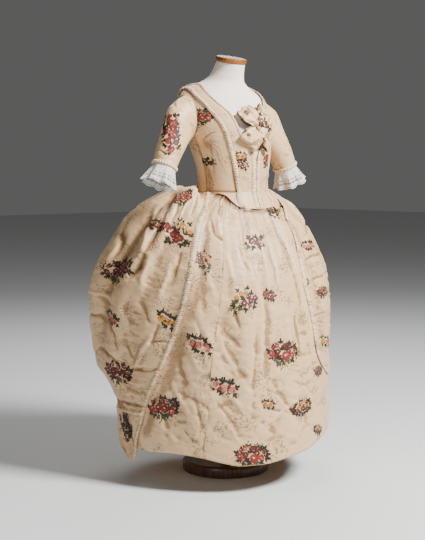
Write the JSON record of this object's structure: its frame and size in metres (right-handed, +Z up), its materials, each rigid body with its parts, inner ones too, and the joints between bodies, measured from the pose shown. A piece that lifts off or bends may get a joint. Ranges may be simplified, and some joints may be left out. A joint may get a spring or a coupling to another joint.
{
  "type": "silk dress on a dress form",
  "caption": "Brocaded silk open robe with looped overskirt and matching petticoat, on a limbless dress form with wooden neck cap and round wooden foot.",
  "frame": {"origin": "centre of the wooden foot's underside", "axes": "+Z up; the dress faces -Y; +X is the wearer's left"},
  "size_m": [0.8695, 0.8233, 1.4272],
  "materials": {
    "silk": "ivory brocaded silk taffeta, soft sheen",
    "silk_trim": "gathered strips of the same silk",
    "lace": "white cotton lace, matte",
    "form_cloth": "off-white cotton jersey, matte",
    "cap_wood": "glossy orange-brown varnish",
    "base_wood": "dark brown satin varnish"
  },
  "bodies": {
    "root": {"stand_base": "base_wood", "stand_pole": "base_wood", "neck_cap": "cap_wood", "form_torso": "form_cloth", "bodice_back": "silk", "bodice_front_right": "silk", "bodice_front_left": "silk", "front_tab_right": "silk", "front_tab_left": "silk", "robing_right": "silk", "robing_left": "silk", "robing_trim_outer_right": "silk_trim", "robing_trim_inner_right": "silk_trim", "robing_trim_outer_left": "silk_trim", "robing_trim_inner_left": "silk_trim", "sleeve_right": "silk", "sleeve_left": "silk", "sleeve_cuff_right": "silk_trim", "sleeve_cuff_left": "silk_trim", "lace_front_right": "lace", "lace_back_right": "lace", "lace_front_left": "lace", "lace_back_left": "lace", "petticoat_front": "silk", "petticoat_left": "silk", "petticoat_back": "silk", "petticoat_right": "silk", "overskirt_right": "silk", "overskirt_left": "silk", "overskirt_trim_right": "silk_trim", "overskirt_trim_left": "silk_trim", "bow_upper_right": "silk", "bow_upper_left": "silk", "bow_lower_left": "silk", "bow_lower_right": "silk", "bow_knot": "silk"}
  },
  "joints": []
}
